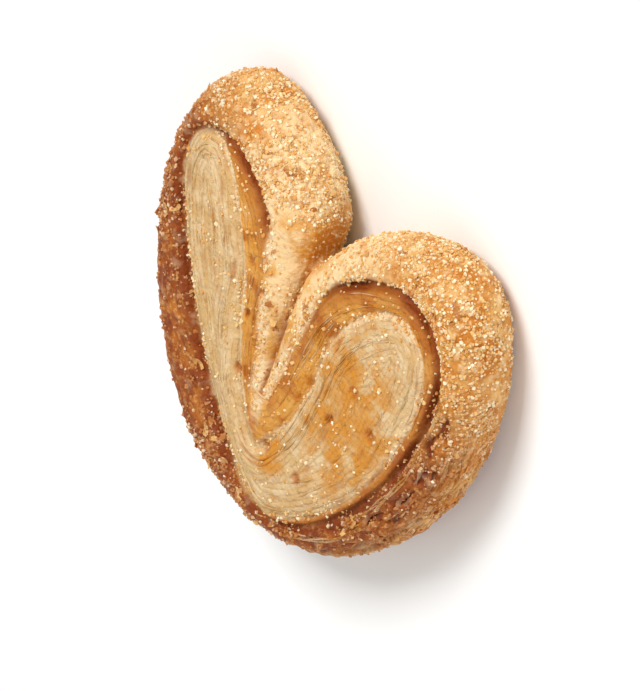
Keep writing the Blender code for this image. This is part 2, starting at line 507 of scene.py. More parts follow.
@dataclass(frozen=True)
class BakedDough:
    """The baked dough: cream in its thick folds, golden by the cleft, brown on its skin, with painted shade in its
    creases, gaps, tears and hollows and painted highlights on its lumps and by the cleft.
    """

    cream: tuple = srgb(224, 195, 150)
    cream_shade: tuple = srgb(208, 168, 110)
    straw: tuple = srgb(210, 160, 94)
    honey: tuple = srgb(222, 162, 78)
    gold: tuple = srgb(210, 140, 46)
    gold_deep: tuple = srgb(178, 96, 16)
    crust: tuple = srgb(208, 146, 70)
    crust_pale: tuple = srgb(230, 184, 116)
    crust_gold: tuple = srgb(198, 120, 38)
    brown: tuple = srgb(164, 86, 28)
    brown_deep: tuple = srgb(128, 54, 10)
    burnt: tuple = srgb(122, 48, 12)
    sugar: tuple = srgb(240, 214, 172)
    glazed_and_highlit: tuple = srgb(244, 210, 158)

    def build(self) -> bpy.types.Material:
        """Makes the material.

        Returns:
            The material.
        """
        paint = Paint("baked_dough")
        place = paint.place()
        mottle = paint.noise(place, 260.0, 3.0, 0.55)
        wander = paint.noise(place, 420.0, 2.0) - 0.5
        grain = paint.noise(place, 1300.0, 3.0, 0.65)
        leaf_tone, leaf_gap, leaf_height = self.leaves(paint)
        colour = self.faces(paint, mottle, wander, grain, leaf_tone)
        colour = paint.mix(paint.attribute("face"), self.flank(paint, place, mottle, grain, leaf_tone), colour)
        # Painted shade: the gaps between leaves that have opened on the side are painted burnt.
        colour = paint.mix(leaf_gap * paint.attribute("open_leaves"), colour, self.burnt)
        # Painted shade: the torn openings in the side are painted nearly burnt.
        colour = paint.mix(paint.attribute("tear") * 0.95, colour, self.burnt)
        # Painted shade: the gaps between the leaves on the cut faces are painted deep gold.
        colour = paint.mix(leaf_gap * paint.attribute("cut_leaves") * 0.4, colour, self.gold_deep)
        colour = paint.mix(paint.attribute("pit") * 0.85, colour, self.gold_deep)
        # Painted shade: the hollows between leaves and between the crust's lumps are painted brown.
        colour = paint.mix(paint.attribute("hollow_shade_and_tone") * 0.6, colour, self.brown)
        # Painted highlight: the crowns of the crust's lumps are painted pale in the sugar's colour.
        colour = paint.mix(paint.attribute("crown_highlight_and_tone") * 0.45, colour, self.sugar)

        crystals = paint.bump(paint.grains(place, 1250.0), 0.3 * MM, 0.5)
        crumbly = paint.bump(paint.noise(place, 700.0, 5.0, 0.62), 0.75 * MM, 0.7, crystals)
        normal = paint.bump(leaf_height * paint.attribute("cut_leaves"), 0.24 * MM, 0.5, crumbly)
        shine = paint.rise(0.4, 0.62, mottle) * -0.2 + 0.62
        return paint.finish(Base_Color=colour, Roughness=shine, Normal=normal, Specular_IOR_Level=0.2,
                            Subsurface_Weight=0.1, Subsurface_Radius=(0.003, 0.0015, 0.0006),
                            Subsurface_Scale=0.5)

    def leaves(self, paint: Paint) -> tuple[Term, Term, Term]:
        """The thin leaves that the dough was folded from, seen on edge.

        Args:
            paint: The paint.

        Returns:
            Each leaf's own tone from 0 to 1, which drifts along it, the gaps between leaves, where the
            finish paints shade, and the leaves' height.
        """
        along_x, along_y, across = paint.parts(paint.attribute("layers", "Vector"))
        sway = paint.noise(paint.vector(along_x, along_y, across * 0.5), 0.11, 3.0, 0.45) * 3.4
        depth = across / 0.95 + sway
        leaf = paint.math("FLOOR", depth)
        off_centre = abs(paint.math("FRACT", depth) - 0.5)
        tone = paint.noise(paint.vector(along_x * 0.2, along_y * 0.2, leaf * 3.7), 1.0, 3.0, 0.6)
        broken = paint.rise(0.4, 0.62, paint.noise(paint.vector(along_x * 0.35, along_y * 0.35, leaf * 5.1), 1.0))
        gap = paint.rise(0.28, 0.5, off_centre) * broken
        return tone, gap, paint.rise(0.5, 0.15, off_centre) * 0.6 + tone * 0.8

    def faces(self, paint: Paint, mottle: Term, wander: Term, grain: Term, leaf_tone: Term) -> Term:
        """The colour of the cut faces, from the inner fold outwards.

        Args:
            paint: The paint.
            mottle: Blotches a few millimetres wide.
            wander: A shift for the borders between zones.
            grain: Fine grain.
            leaf_tone: Each leaf's tone.

        Returns:
            The colour.
        """
        tongue_edge = paint.attribute("tongue_depth") + wander * 1.6 + paint.attribute("pale_side") * 1.3
        middle_edge = paint.attribute("middle_depth") + wander * 0.9
        uneven = leaf_tone * 0.55 + mottle * 0.45
        inner = paint.mix(paint.rise(0.38, 0.62, uneven), self.cream, self.cream_shade)
        ripe = paint.mix(paint.rise(0.4, 0.6, uneven), self.straw, self.gold)
        inner = paint.mix(paint.attribute("ripe") * paint.rise(0.3, 0.55, mottle), inner, ripe)
        band = paint.mix(paint.rise(0.38, 0.62, uneven), self.honey, self.gold)
        band = paint.mix(paint.rise(0.52, 0.66, mottle) * 0.7, band, self.gold_deep)
        shade = paint.rise(4.6, 0.6, middle_edge) * paint.attribute("crease")
        band = paint.mix(shade * 0.9, band, self.brown)
        colour = paint.mix(paint.rise(-0.4, 0.7, tongue_edge), band, inner)
        lip = paint.bell(tongue_edge - 0.5, 1.0) * paint.attribute("lip")
        colour = paint.mix(lip * paint.rise(0.3, 0.5, grain) * 0.85, colour, self.sugar)
        colour = paint.mix(paint.rise(0.3, -0.5, middle_edge), colour, self.skin(paint, mottle, grain, leaf_tone))
        outwards = paint.attribute("low_side") * 0.7 + paint.attribute("pale_side") * 0.5
        # Painted shade: the crease at the middle fold's edge is painted deep brown, partly darker caramel and mostly
        # the shade that falls in its groove.
        line = paint.bell(middle_edge - 0.35 + outwards, 1.7) * paint.attribute("crease")
        colour = paint.mix(paint.rise(0.0, 0.8, line) * 0.9, colour, self.brown_deep)
        # The cleft's valley takes the glazed colour: glossy sugar glaze with a painted highlight on the lobes'
        # cleft-facing sides.
        glassy_and_highlit = paint.mix(paint.rise(0.42, 0.6, mottle), self.glazed_and_highlit, self.honey)
        colour = paint.mix(paint.attribute("valley") * 0.85, colour, glassy_and_highlit)
        # Pale sugar along the cleft's edges and the seam below it: partly real sugar, partly a painted highlight on
        # the edges.
        colour = paint.mix(paint.attribute("sugared_and_highlit") * paint.rise(0.25, 0.5, grain), colour, self.sugar)
        # Painted shade: the line where the lobes meet at the bottom of the cleft is painted deep gold.
        return paint.mix(paint.attribute("fold_line") * 0.7, colour, self.gold_deep)

    def skin(self, paint: Paint, mottle: Term, grain: Term, leaf_tone: Term) -> Term:
        """The outer fold: golden at the top of the lobes, brown on its sides and tip, which is partly browned crust
        and partly painted shade on the sides turned from the light.

        Args:
            paint: The paint.
            mottle: Blotches a few millimetres wide.
            grain: Fine grain.
            leaf_tone: Each leaf's tone.

        Returns:
            The colour.
        """
        golden = paint.mix(paint.rise(0.36, 0.6, mottle), self.crust_gold, self.crust)
        golden = paint.mix(paint.rise(0.5, 0.66, grain) * 0.8, golden, self.crust_pale)
        # Near the notch between the lobes the crust takes the glazed colour: partly real sugar glaze, partly a
        # painted highlight where light from above falls.
        golden = paint.mix(paint.attribute("glaze_and_highlight") * paint.rise(0.3, 0.55, mottle), golden, self.glazed_and_highlit)
        golden = paint.mix(paint.attribute("amber") * paint.rise(0.3, 0.5, grain), golden, self.gold)
        browned_and_shaded = paint.mix(paint.rise(0.35, 0.62, leaf_tone * 0.6 + mottle * 0.4), self.brown, self.brown_deep)
        browned_and_shaded = paint.mix(paint.rise(0.52, 0.66, grain) * 0.5, browned_and_shaded, self.crust)
        # The brown of the lower sides and tip is partly browned crust and partly painted shade.
        return paint.mix(paint.attribute("brown") * paint.rise(0.15, 0.5, mottle), golden, browned_and_shaded)

    def flank(self, paint: Paint, place: Term, mottle: Term, grain: Term, leaf_tone: Term) -> Term:
        """The slice's side: the outer fold with its crust of sugar.

        Args:
            paint: The paint.
            place: The piece's own coordinates.
            mottle: Blotches a few millimetres wide.
            grain: Fine grain.
            leaf_tone: Each leaf's tone.

        Returns:
            The colour.
        """
        warm = paint.mix(paint.rise(0.4, 0.62, paint.noise(place, 150.0, 2.0)), self.crust, self.crust_gold)
        warm = paint.mix(paint.rise(0.45, 0.65, mottle) * 0.8, warm, self.crust_pale)
        warm = paint.mix(paint.rise(0.54, 0.68, grain) * 0.6, warm, self.sugar)
        # Near the notch the side takes the glazed colour: partly real sugar glaze, partly a painted highlight where
        # light from above falls.
        warm = paint.mix(paint.attribute("glaze_and_highlight") * paint.rise(0.3, 0.5, mottle), warm, self.glazed_and_highlit)
        warm = paint.mix(paint.attribute("amber") * paint.rise(0.3, 0.5, grain), warm, self.gold)
        leafy = paint.mix(paint.rise(0.4, 0.6, leaf_tone), self.crust_pale, self.crust_gold)
        warm = paint.mix(paint.attribute("open_leaves") * 0.7, warm, leafy)
        # The side is painted brown near its edges on the lower sides: partly browned crust, partly painted shade.
        return paint.mix(paint.attribute("brown") * paint.attribute("rim") * 0.6, warm, self.brown)


@dataclass(frozen=True)
class DoughLeaf:
    """A single thin leaf of dough, in a light and a dark tone."""

    name: str
    light: tuple
    dark: tuple

    def build(self) -> bpy.types.Material:
        """Makes the material."""
        paint = Paint("leaf_" + self.name)
        place = paint.place()
        tone = paint.rise(0.35, 0.65, paint.noise(place, 330.0, 3.0, 0.6))
        normal = paint.bump(paint.noise(place, 1800.0, 3.0), 0.25 * MM, 0.6)
        colour = paint.mix(tone, self.light, self.dark)
        return paint.finish(Base_Color=colour, Roughness=tone * 0.2 + 0.4, Normal=normal,
                            Specular_IOR_Level=0.35, Subsurface_Weight=0.15,
                            Subsurface_Radius=(0.002, 0.001, 0.0005), Subsurface_Scale=0.4)


@dataclass(frozen=True)
class SugarGlass:
    """Baked sugar: crystals from nearly white to amber."""

    white: tuple = srgb(246, 226, 188)
    straw: tuple = srgb(232, 188, 124)
    amber: tuple = srgb(216, 156, 80)
    brown: tuple = srgb(176, 106, 50)

    def build(self) -> bpy.types.Material:
        """Makes the material.

        Returns:
            The material.
        """
        paint = Paint("baked_sugar")
        tone = paint.attribute("tone")
        colour = paint.mix(paint.rise(0.55, 0.95, tone), self.straw, self.white)
        colour = paint.mix(paint.rise(0.5, 0.1, tone), colour, self.amber)
        # Crystals on the lower sides take the brown: partly browned sugar, partly painted shade.
        colour = paint.mix(paint.attribute("brown") * paint.rise(1.3, 0.6, tone) * 0.85, colour, self.brown)
        clouds = paint.noise(paint.place(), 2600.0, 2.0)
        return paint.finish(Base_Color=colour, Roughness=clouds * 0.3 + 0.15, IOR=1.5,
                            Subsurface_Weight=0.35, Subsurface_Radius=(0.001, 0.0007, 0.0004),
                            Subsurface_Scale=0.5)


def vertex_places(mesh: bpy.types.Mesh) -> np.ndarray:
    """Reads where a mesh's vertices are, in millimetres."""
    place = np.empty(len(mesh.vertices) * 3)
    mesh.vertices.foreach_get("co", place)
    return place.reshape(-1, 3) / MM


@dataclass
class Survey:
    """Where every vertex of the dough lies among its folds, in millimetres."""

    place: np.ndarray
    normal: np.ndarray

    def __post_init__(self) -> None:
        """Measures the vertices against the folds' outlines."""
        self.skin_depth, self.skin_arc = SKIN.measure(self.place[:, :2])
        self.middle_depth, self.middle_arc = MIDDLE.measure(self.place[:, :2])
        self.tongue_depth, self.tongue_arc = TONGUE.measure(self.place[:, :2])
        self.height = self.place[:, 2] - MIDDLE_HEIGHT
        self.side = np.where(self.height > 0, 1.0, -1.0)
        self.face = smooth_step(0.4, 0.85, np.abs(self.normal[:, 2]))
        self.in_tongue = smooth_step(-0.2, 0.2, self.tongue_depth)
        self.in_middle = smooth_step(-0.2, 0.2, self.middle_depth) * (1 - self.in_tongue)
        self.in_skin = (1 - self.in_tongue) * (1 - self.in_middle)

    @classmethod
    def of(cls, mesh: bpy.types.Mesh) -> "Survey":
        """Surveys a mesh.

        Args:
            mesh: The mesh, in metres.

        Returns:
            The survey.
        """
        normal = np.empty(len(mesh.vertices) * 3)
        mesh.vertex_normals.foreach_get("vector", normal)
        return cls(vertex_places(mesh), normal.reshape(-1, 3))

    def layers(self) -> np.ndarray:
        """Coordinates that follow the leaves: two along the fold, and one across the leaves."""
        in_tongue, in_middle = self.tongue_depth > 0, self.middle_depth > 0
        across = np.where(in_tongue, self.tongue_depth + 100, np.where(
            in_middle, self.middle_depth + 200, self.skin_depth + np.abs(self.height) + 300)) * self.side
        rows = []
        for outline, arc in ((SKIN, self.skin_arc), (MIDDLE, self.middle_arc), (TONGUE, self.tongue_arc)):
            radius = outline.length() / math.tau
            rows.append(radius * np.column_stack([np.cos(arc / radius), np.sin(arc / radius)]))
        along = np.where(in_tongue[:, None], rows[2], np.where(in_middle[:, None], rows[1], rows[0]))
        return np.column_stack([along, across])

    def bearing(self) -> np.ndarray:
        """The direction of each vertex from the slice's middle, in degrees, 90 towards the lobes."""
        return np.degrees(np.arctan2(self.place[:, 1], self.place[:, 0]))


@dataclass
class PastrySlice:
    """The dough itself, with its folds, leaves, blisters and crust."""

    voxel: float = 0.36 * MM
    smoothing: int = 6
    cleft_softening: float = 5.0 * MM
    unevenness: float = 0.25
    pillow: float = 0.45
    lip_height: float = 0.3
    crease_depth: float = 0.9
    leaf_relief: float = 0.16
    crust_relief: float = 0.34
    tear_depth: float = 0.7
    pits: tuple = ((14.8, 4.3, 1.2), (19.6, -0.2, 1.3), (11.2, -3.1, 1.1), (7.3, -17.0, 1.2), (-0.6, -17.1, 1.1),
                   (-11.0, 10.0, 0.9), (-9.8, 1.3, 1.0), (-7.4, 6.5, 0.8), (-9.2, -8.7, 1.2))
    tears: tuple = ((32.0, 9.4, 94, 2.2, 0.9), (30.6, 5.0, 84, 2.6, 0.8), (30.2, -0.6, 74, 2.4, 0.9),
                    (27.6, -6.4, 62, 2.8, 0.8), (23.4, -12.8, 52, 3.0, 0.8), (16.6, -19.8, 40, 3.2, 0.7),
                    (31.8, 0.6, 80, 1.4, 0.5), (26.4, -11.4, 56, 1.6, 0.5))
    glaze_and_highlight_reach: float = 23.0
    glaze_and_highlight_rise: float = 8.0
    ripe_spots: tuple = ((14.0, -1.0, 11.0, 17.0), (0.2, -17.0, 4.5, 4.0))
    amber_centre: tuple = (-3.0, 17.5)
    finish: BakedDough = field(default_factory=BakedDough)
    surface: BVHTree | None = None

    def build(self) -> bpy.types.Object:
        """Makes the dough and puts it in place of the plain solid.

        Returns:
            The finished piece.
        """
        piece = self.fine_copy()
        self.shape(piece.data)
        piece.data.shade_smooth()
        piece.data.materials.clear()
        piece.data.materials.append(self.finish.build())
        self.surface = BVHTree.FromPolygons([vertex.co for vertex in piece.data.vertices],
                                            [polygon.vertices for polygon in piece.data.polygons])
        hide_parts(NODE)
        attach(piece, BODY)
        return piece

    def fine_copy(self) -> bpy.types.Object:
        """Copies the solid's mesh, closes it and makes it fine and even."""
        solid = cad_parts[NODE]
        piece = bpy.data.objects.new("pastry_dough", solid.data.copy())
        bpy.context.scene.collection.objects.link(piece)
        only(piece)
        bpy.ops.object.mode_set(mode="EDIT")
        bpy.ops.mesh.select_all(action="SELECT")
        bpy.ops.mesh.remove_doubles(threshold=0.00001)
        bpy.ops.object.mode_set(mode="OBJECT")
        remesh = piece.modifiers.new("even_mesh", "REMESH")
        remesh.mode = "VOXEL"
        remesh.voxel_size = self.voxel
        soften = piece.modifiers.new("soften", "SMOOTH")
        soften.factor = 0.5
        soften.iterations = self.smoothing
        bpy.ops.object.modifier_apply(modifier="even_mesh")
        bpy.ops.object.modifier_apply(modifier="soften")
        self.soften_cleft(piece)
        return piece

    def soften_cleft(self, piece: bpy.types.Object) -> None:
        """Rounds off the ledge where the two lobes meet."""
        middle = Vector((*CLEFT.top, 0)) * MM
        near = [vertex.index for vertex in piece.data.vertices
                if (Vector((*vertex.co.xy, 0)) - middle).length < self.cleft_softening]
        piece.vertex_groups.new(name="cleft").add(near, 1.0, "REPLACE")
        soften = piece.modifiers.new("soften_cleft", "SMOOTH")
        soften.vertex_group = "cleft"
        soften.iterations = 12
        bpy.ops.object.modifier_apply(modifier="soften_cleft")

    def shape(self, mesh: bpy.types.Mesh) -> None:
        """Moves every vertex to where the baked dough has it, and records what the finish reads.

        Args:
            mesh: The fine mesh.
        """
        survey = Survey.of(mesh)
        masks = self.masks(survey)
        place = survey.place + survey.normal * self.relief(survey, masks)[:, None]
        place[:, 2] += survey.side * survey.face * self.swell(survey, masks)
        low, high = (np.array(corner) / MM for corner in CAD_BOUNDS)
        np.clip(place, low - (0.5, 0.5, 0.0), high + (0.5, 0.5, -0.08), out=place)
        mesh.vertices.foreach_set("co", (place * MM).ravel())
        mesh.update()
        self.record(mesh, survey, masks)

    @staticmethod
    def record(mesh: bpy.types.Mesh, survey: Survey, masks: dict[str, np.ndarray]) -> None:
        """Writes the masks into a mesh's attributes, where the finish reads them.

        Args:
            mesh: The mesh.
            survey: Its measured vertices.
            masks: One value for each vertex and name.
        """
        for name, data in masks.items():
            mesh.attributes.new(name, "FLOAT", "POINT").data.foreach_set("value", data.astype(np.float32))
        mesh.attributes.new("layers", "FLOAT_VECTOR", "POINT").data.foreach_set(
            "vector", survey.layers().astype(np.float32).ravel())

    def masks(self, survey: Survey) -> dict[str, np.ndarray]:
        """Works out where the dough is brown, creased, coated with sugar, pitted and torn, and where shade and
        highlights are painted onto it.

        Args:
            survey: The measured vertices.

        Returns:
            One value from 0 to 1 for each vertex and name, and the depths inside the outlines.
        """
        place, face = survey.place, survey.face
        gap, bearing = CLEFT.gap(place), survey.bearing()
        in_cleft = smooth_step(-10.5, -8.5, place[:, 1]) * smooth_step(24, 17, place[:, 1])
        outer_line = np.maximum(smooth_step(0.5, 2.5, gap), smooth_step(16.5, 19.5, place[:, 1]))
        seam = smooth_step(-18, -14, place[:, 1]) * smooth_step(-7, -10, place[:, 1]) * smooth_step(
            1.6, 0.3, gap + CLEFT.half_widths[0])
        patches = smooth_step(-0.25, 0.3, LatticeNoise(51).at(place / 7.0))
        rim = smooth_step(6.0, 2.0, MIDDLE_HEIGHT - np.abs(survey.height))
        pit = np.zeros(len(place))
        for x, y, radius in self.pits:
            reach = np.hypot(place[:, 0] - x, place[:, 1] - y) / radius + LatticeNoise(31).at(place / 0.8) * 0.7
            pit = np.maximum(pit, smooth_step(1.25, 0.3, reach) * (survey.side > 0))
        # Torn openings in the side: sunk in, and painted nearly burnt as shade.
        tear = np.zeros(len(place))
        for x, y, heading, length, width in self.tears:
            turn = math.radians(heading)
            along = (place[:, 0] - x) * math.cos(turn) + (place[:, 1] - y) * math.sin(turn)
            across = (place[:, 1] - y) * math.cos(turn) - (place[:, 0] - x) * math.sin(turn)
            reach = np.hypot(along / length, across / width) + LatticeNoise(32).at(place / 1.1) * 0.8
            tear = np.maximum(tear, smooth_step(1.2, 0.5, reach) * (survey.height > 2))
        bubbles = smooth_step(0.3, 0.52, LatticeNoise(41).at(place / 2.1)) * (1 - survey.in_skin) * face
        ripe = np.minimum.reduce([np.hypot((place[:, 0] - x) / across, (place[:, 1] - y) / along)
                                  for x, y, across, along in self.ripe_spots])
        low_side = np.maximum(smooth_step(118, 150, bearing), smooth_step(35, -8, bearing))
        # The glaze near the notch: real glossy sugar glaze, brightened further as a painted highlight.
        notch = np.hypot(place[:, 0] - CLEFT.top[0], place[:, 1] - CLEFT.top[1] - self.glaze_and_highlight_rise)
        glaze_and_highlight = smooth_step(self.glaze_and_highlight_reach, 0.4 * self.glaze_and_highlight_reach, notch) * survey.in_skin
        torn = smooth_step(-95, -55, bearing) * smooth_step(22, -8, bearing)
        pale_side = np.maximum(smooth_step(118, 150, bearing), smooth_step(-70, -105, bearing))
        valley = smooth_step(1.5, -0.4, gap) * in_cleft
        return {
            "skin_depth": survey.skin_depth, "middle_depth": survey.middle_depth,
            "tongue_depth": survey.tongue_depth, "face": face, "rim": rim,
            # brown: the skin's lower sides and tip, browned crust darkened further as painted shade.
            "brown": low_side * survey.in_skin, "low_side": low_side, "pale_side": pale_side, "glaze_and_highlight": glaze_and_highlight,
            # crease: where the groove at the middle fold's edge is cut, and where shade is painted along it.
            "crease": outer_line * face * (0.55 + 0.45 * patches),
            "lip": smooth_step(-24, -8, place[:, 1]) * (0.5 + 0.5 * patches) * face,
            # fold_line: where the lobes meet in the cleft, sunk in and painted darker as shade.
            "valley": valley, "fold_line": smooth_step(0.6, 0.1, CLEFT.offset(place)) * valley,
            # sugared: the cleft's edges and the seam, pale sugar with a painted highlight on the edges.
            "sugared_and_highlit": np.maximum(smooth_step(1.5, 0.3, np.abs(gap - 0.4)) * in_cleft, seam) * patches,
            "ripe": smooth_step(1.15, 0.6, ripe) * survey.in_tongue,
            "pit": np.clip(pit + bubbles * 0.5, 0, 1), "tear": tear,
            "amber": smooth_step(6.0, 2.5, np.linalg.norm(place[:, :2] - self.amber_centre, axis=1)),
            "sugar_density": self.sugar_density(survey, patches, in_cleft, gap, bearing),
            "flake_density": survey.in_skin * smooth_step(0.3, 0.9, patches) * smooth_step(-5, -3, survey.height),
            "open_leaves": torn * (1 - 0.5 * face) * survey.in_skin,
            "cut_leaves": (1 - survey.in_skin) * face * (1 - valley),
        }

    def sugar_density(self, survey: Survey, patches: np.ndarray, in_cleft: np.ndarray, gap: np.ndarray,
                      bearing: np.ndarray) -> np.ndarray:
        """How densely sugar lies: thick on the crust, thin on the cut faces and in the cleft.

        Args:
            survey: The measured vertices.
            patches: Patches with more and with less sugar.
            in_cleft: How surely a vertex lies as high up as the cleft.
            gap: The distance from the cleft's sides.
            bearing: The direction from the slice's middle.

        Returns:
            One value from 0 to 1 for each vertex.
        """
        crust = survey.in_skin * (0.25 + 0.75 * patches) * (1 - 0.5 * smooth_step(40, -40, bearing))
        crust *= 1 - 0.8 * smooth_step(5.0, 1.5, gap) * in_cleft
        crust *= 1 - 0.6 * smooth_step(-95, -60, bearing) * smooth_step(22, -8, bearing)
        crust *= 1 - 0.6 * smooth_step(120, 150, np.abs(bearing))
        lip = smooth_step(1.3, 0.2, np.abs(survey.tongue_depth - 0.4)) * 0.5 * patches
        cleft = smooth_step(1.4, 0.2, np.abs(gap - 0.4)) * in_cleft * 0.6
        cut = (1 - survey.in_skin) * (0.02 + 0.06 * patches)
        above_floor = smooth_step(-MIDDLE_HEIGHT + 0.8, -MIDDLE_HEIGHT + 2.0, survey.height)
        return np.clip(np.maximum.reduce([crust, lip, cleft, cut]) * above_floor, 0, 1)

    def relief(self, survey: Survey, masks: dict[str, np.ndarray]) -> np.ndarray:
        """How far the surface stands out or in along its normal.

        Args:
            survey: The measured vertices.
            masks: What masks() gives. The hollows' painted shade and the crowns' painted highlight are added to it
                for the finish.

        Returns:
            Millimetres, positive outwards.
        """
        place, face = survey.place, survey.face
        layers = survey.layers() / (9.0, 9.0, 2.0)
        drift = LatticeNoise(3).at(place / 6.0)
        leaves = 0.4 - np.abs(LatticeNoise(5).layered(layers + drift[:, None] * (0, 0, 0.5), 2)) * 1.6
        grain = LatticeNoise(11).layered(place / 1.4, 2)
        lumps = np.abs(LatticeNoise(12).at(place / 2.1)) + 0.5 * np.abs(LatticeNoise(13).at(place / 1.1))
        tears = np.abs(LatticeNoise(21).layered(survey.layers() / (11.0, 11.0, 1.7), 2))
        line = smooth_step(1.1, 0.0, np.abs(survey.middle_depth - 0.3 + 0.6 * masks["low_side"])) * masks["crease"]
        lip = smooth_step(1.1, 0.0, np.abs(survey.tongue_depth - 0.7)) * masks["lip"]
        crusty = survey.in_skin * (1 - masks["valley"])
        # Painted shade: the hollows between the leaves and between the crust's lumps are marked for the finish to
        # darken.
        masks["hollow_shade_and_tone"] = np.clip(smooth_step(0.0, -0.5, leaves) * masks["cut_leaves"] * 0.6 + smooth_step(
            0.16, 0.02, lumps) * crusty * 0.7, 0, 1)
        # Painted highlight: the crowns of the crust's lumps are marked for the finish to paint pale.
        masks["crown_highlight_and_tone"] = smooth_step(0.3, 0.5, lumps) * crusty * (1 - 0.6 * masks["brown"])
        lift = self.unevenness * LatticeNoise(1).layered(place / 13.0, 2)
        lift += masks["cut_leaves"] * self.leaf_relief * leaves * (1 + survey.in_tongue)
        lift += crusty * self.crust_relief * (grain * 0.4 + lumps * 1.8 - 0.4)
        lift -= masks["open_leaves"] * (tears * 1.6 - 0.3)
        lift -= self.crease_depth * line + 0.5 * masks["fold_line"]
        lift += self.lip_height * lip
        return lift - 0.45 * masks["pit"] - self.tear_depth * masks["tear"]

    def swell(self, survey: Survey, masks: dict[str, np.ndarray]) -> np.ndarray:
        """How far the folds' faces sink towards their edges, as a rise above the flat face.

        Args:
            survey: The measured vertices.
            masks: What masks() gives.

        Returns:
            Millimetres, negative where the face sinks.
        """
        tongue = self.pillow * smooth_step(4.5, 0.0, survey.tongue_depth) * survey.in_tongue
        edge = np.minimum(np.abs(survey.tongue_depth), np.abs(survey.middle_depth))
        band = 0.6 * self.pillow * smooth_step(2.6, 0.0, edge) * survey.in_middle
        return -(tongue + band) * (1 - masks["valley"])


class Lie(Enum):
    """How scattered things lie on the dough, by the largest tilt in radians."""

    FLAT = 0.35
    ANYHOW = math.pi


@dataclass
class Scatter:
    """Many small things of one kind, baked onto the dough and joined into one piece."""

    name: str
    size: float
    per_square_mm: float
    seed: int
    density: str = "sugar_density"
    lie: Lie = Lie.ANYHOW
    smallest: float = 0.45
    largest: float = 1.15

    def build(self, dough: bpy.types.Object) -> bpy.types.Object:
        """Scatters copies of one model where the dough's density mask is strong.

        Args:
            dough: The finished dough.

        Returns:
            The finished piece.
        """
        model = self.model()
        piece = bpy.data.objects.new(self.name, dough.data.copy())
        bpy.context.scene.collection.objects.link(piece)
        scatter = piece.modifiers.new("scatter", "NODES")
        scatter.node_group = self.scatter_group(model)
        only(piece)
        bpy.ops.object.modifier_apply(modifier="scatter")
        bpy.data.objects.remove(model)
        piece.data.materials.clear()
        piece.data.materials.append(self.material())
        piece.data.shade_flat()
        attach(piece, BODY)
        return piece

    def model(self) -> bpy.types.Object:
        """Models the one thing that is scattered."""
        raise NotImplementedError

    def material(self) -> bpy.types.Material:
        """Makes its finish."""
        raise NotImplementedError

    def scatter_group(self, model: bpy.types.Object) -> bpy.types.NodeTree:
        """Builds the nodes that scatter the model and make the copies real mesh.

        Args:
            model: The one thing that is scattered.

        Returns:
            The node group.
        """
        group = bpy.data.node_groups.new(self.name, "GeometryNodeTree")
        group.interface.new_socket("Geometry", in_out="INPUT", socket_type="NodeSocketGeometry")
        group.interface.new_socket("Geometry", in_out="OUTPUT", socket_type="NodeSocketGeometry")
        weave = Weave(group)
        source = weave.node("NodeGroupInput")
        density = weave.node("GeometryNodeInputNamedAttribute", {"data_type": "FLOAT"}, {"Name": self.density})
        amount = weave.node("ShaderNodeMath", {"operation": "MULTIPLY"},
                            {0: density.outputs[0], 1: self.per_square_mm / MM ** 2})
        points = weave.node("GeometryNodeDistributePointsOnFaces", {"distribute_method": "RANDOM"},
                            {"Mesh": source.outputs[0], "Density": amount.outputs[0], "Seed": self.seed})
        tilt = self.lie.value
        turn = weave.random("FLOAT_VECTOR", (-tilt, -tilt, -math.pi), (tilt, tilt, math.pi), self.seed + 1)
        turned = weave.node("FunctionNodeRotateRotation", {"rotation_space": "LOCAL"},
                            {0: points.outputs["Rotation"], 1: turn})
        size = weave.random("FLOAT", self.smallest, self.largest, self.seed + 2)
        spread = weave.node("GeometryNodeInstanceOnPoints", None, {
            "Points": points.outputs["Points"], "Instance": weave.object(model),
            "Rotation": turned.outputs[0], "Scale": size})
        toned = weave.node("GeometryNodeStoreNamedAttribute", {"data_type": "FLOAT", "domain": "INSTANCE"}, {
            "Geometry": spread.outputs[0], "Name": "tone", "Value": weave.random("FLOAT", 0.0, 1.0, self.seed + 3)})
        real = weave.node("GeometryNodeRealizeInstances", None, {"Geometry": toned.outputs[0]})
        weave.node("NodeGroupOutput", None, {0: real.outputs[0]})
        return group


@dataclass
class SugarGrains(Scatter):
    """Sugar grains: slightly skewed blocks, with cut edges on the coarse ones."""

    cut_edges: float = 0.0
    finish: SugarGlass = field(default_factory=SugarGlass)

    def model(self) -> bpy.types.Object:
        """Models one grain."""
        bpy.ops.mesh.primitive_cube_add(size=self.size)
        grain = bpy.context.object
        bpy.ops.object.mode_set(mode="EDIT")
        bpy.ops.transform.resize(value=(1.0, 0.85, 0.7))
        if self.cut_edges:
            bpy.ops.mesh.bevel(offset=self.size * self.cut_edges, segments=1)
        bpy.ops.transform.vertex_random(offset=self.size * 0.12, seed=self.seed)
        bpy.ops.object.mode_set(mode="OBJECT")
        return grain

    def material(self) -> bpy.types.Material:
        """Makes the sugar's finish."""
        return self.finish.build()


